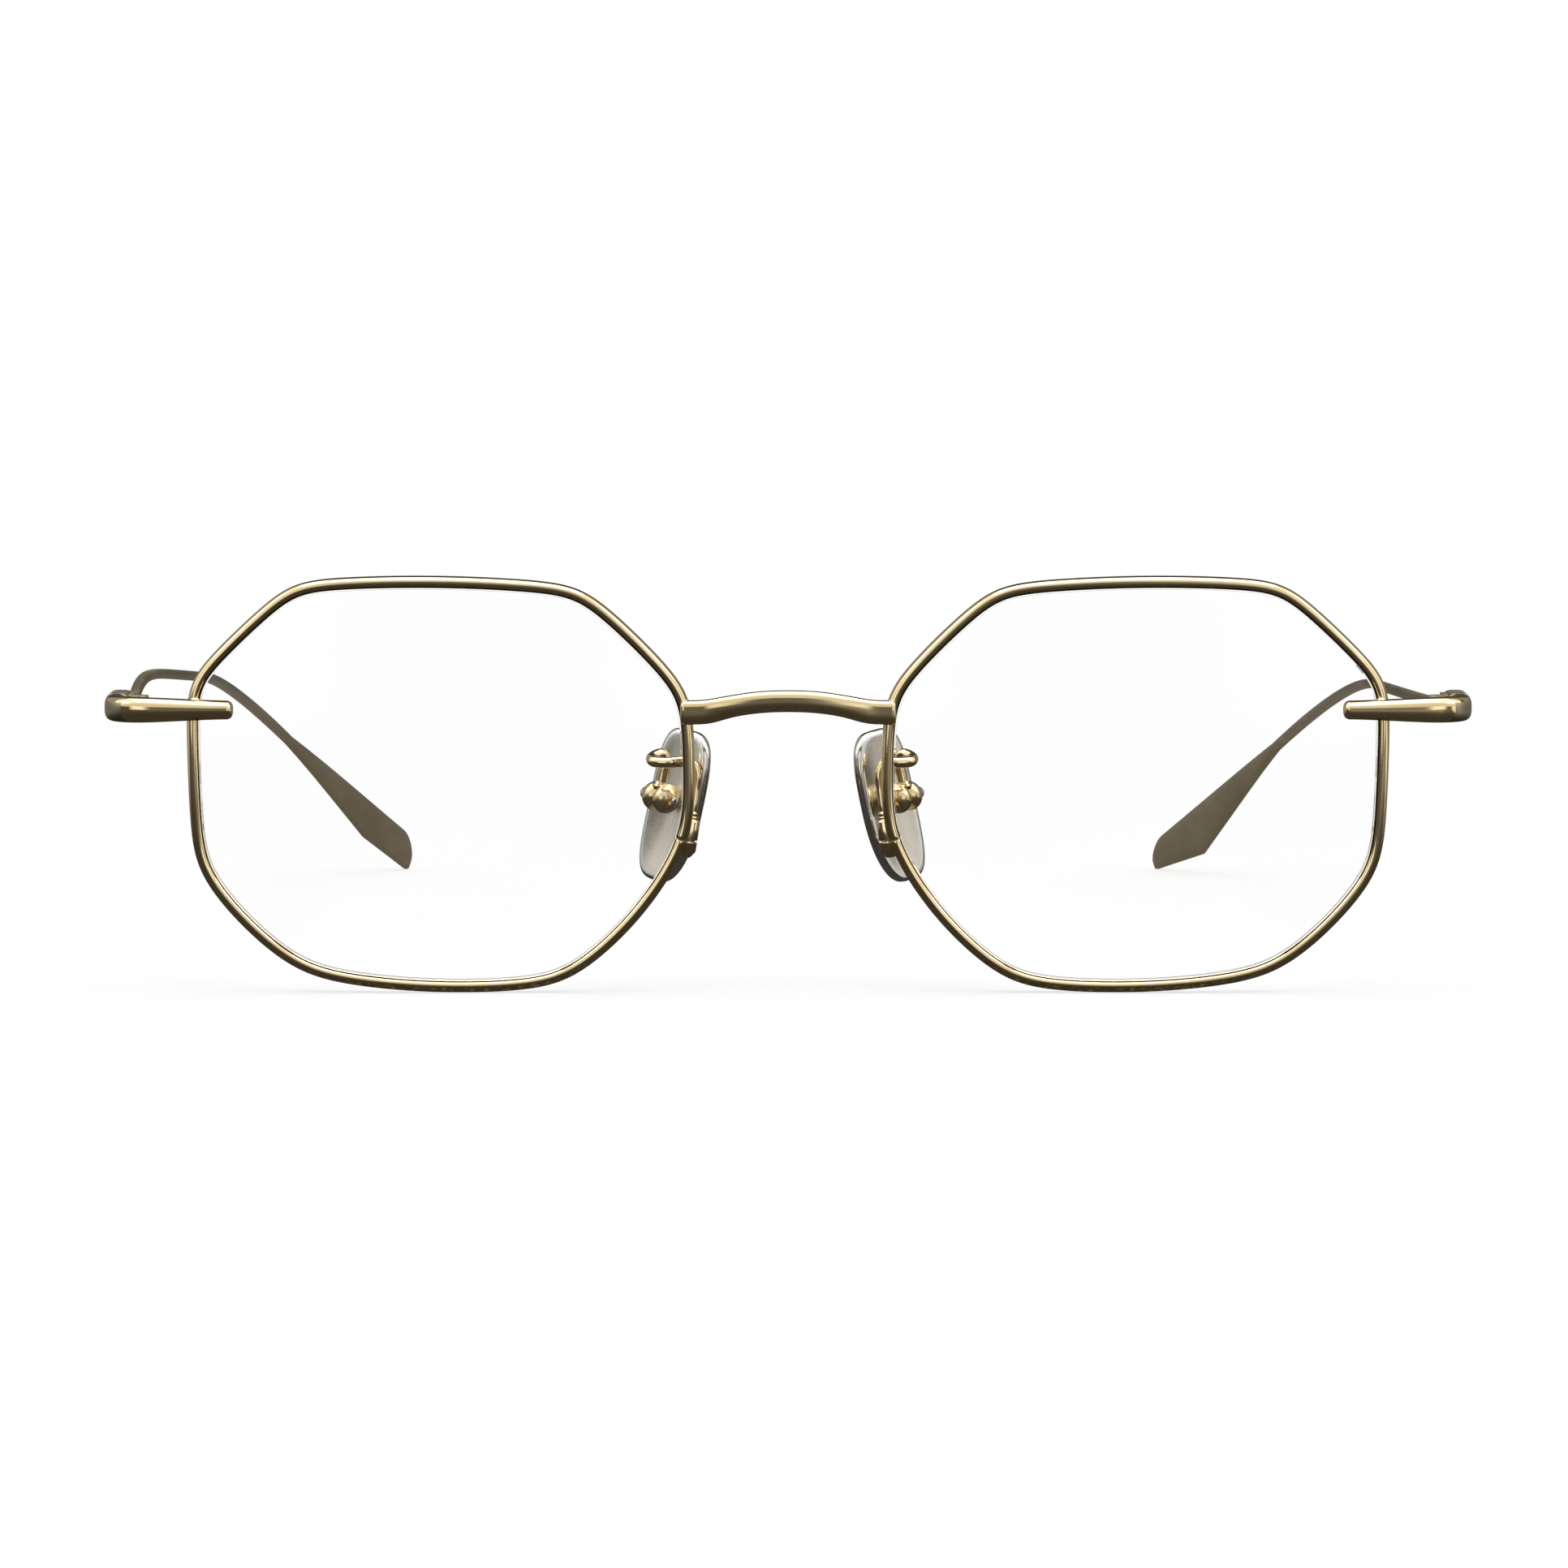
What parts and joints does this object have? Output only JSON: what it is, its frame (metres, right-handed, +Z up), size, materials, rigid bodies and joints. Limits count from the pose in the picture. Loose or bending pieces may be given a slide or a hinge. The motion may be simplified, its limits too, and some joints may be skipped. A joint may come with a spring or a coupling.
{
  "type": "eyeglasses",
  "caption": "Octagonal thin metal eyeglasses with a flat arched bridge, clear lenses, metal nose pads and slim temples ending in flat paddles, standing open.",
  "frame": {"origin": "On the table surface, below the middle of the object's bounding box.", "axes": "+X towards the wearer's left, +Y from the front to the temple tips, +Z up"},
  "size_m": [0.1376, 0.1373, 0.042],
  "materials": {
    "polished_gold": "polished pale gold plating on the front",
    "satin_gold": "matt antique bronze-gold plating on temples and hinge leaves",
    "satin_steel": "satin faces with polished bevels on the nose pads",
    "bright_steel": "bright turned screws of the pad boxes",
    "clear_lens": "clear, uncoated and polished"
  },
  "bodies": {
    "front": {"bridge": "polished_gold", "right_rim": "polished_gold", "left_rim": "polished_gold", "right_lens": "clear_lens", "left_lens": "clear_lens", "right_end_piece": "polished_gold", "left_end_piece": "polished_gold", "right_hinge_front": "polished_gold", "left_hinge_front": "polished_gold", "right_hinge_screw": "polished_gold", "left_hinge_screw": "polished_gold", "right_upper_lock_block": "polished_gold", "left_upper_lock_block": "polished_gold", "right_lower_lock_block": "polished_gold", "left_lower_lock_block": "polished_gold", "right_lock_screw": "polished_gold", "left_lock_screw": "polished_gold", "right_pad_arm": "polished_gold", "left_pad_arm": "polished_gold", "right_pad_box": "polished_gold", "left_pad_box": "polished_gold", "right_pad_screw": "bright_steel", "left_pad_screw": "bright_steel"},
    "right_temple_body": {"right_temple": "satin_gold", "right_hinge_back": "satin_gold"},
    "left_temple_body": {"left_temple": "satin_gold", "left_hinge_back": "satin_gold"},
    "right_pad_body": {"right_nose_pad": "satin_steel"},
    "left_pad_body": {"left_nose_pad": "satin_steel"}
  },
  "joints": [
    {"name": "right_temple_hinge", "type": "hinge", "parent": "front", "child": "right_temple_body", "pos_m": [-0.0654, -0.06239, 0.02854], "axis": [0, 0, -1], "range_deg": [0, 76]},
    {"name": "left_temple_hinge", "type": "hinge", "parent": "front", "child": "left_temple_body", "pos_m": [0.0654, -0.06239, 0.02854], "axis": [0, 0, 1], "range_deg": [0, 80]},
    {"name": "right_pad_rock", "type": "hinge", "parent": "front", "child": "right_pad_body", "pos_m": [-0.0129, -0.06069, 0.01924], "axis": [-0.6917, 0.7071, 0.147], "range_deg": [-8, 8]},
    {"name": "left_pad_rock", "type": "hinge", "parent": "front", "child": "left_pad_body", "pos_m": [0.0117, -0.06069, 0.01924], "axis": [0.6917, 0.7071, 0.147], "range_deg": [-8, 8]}
  ]
}
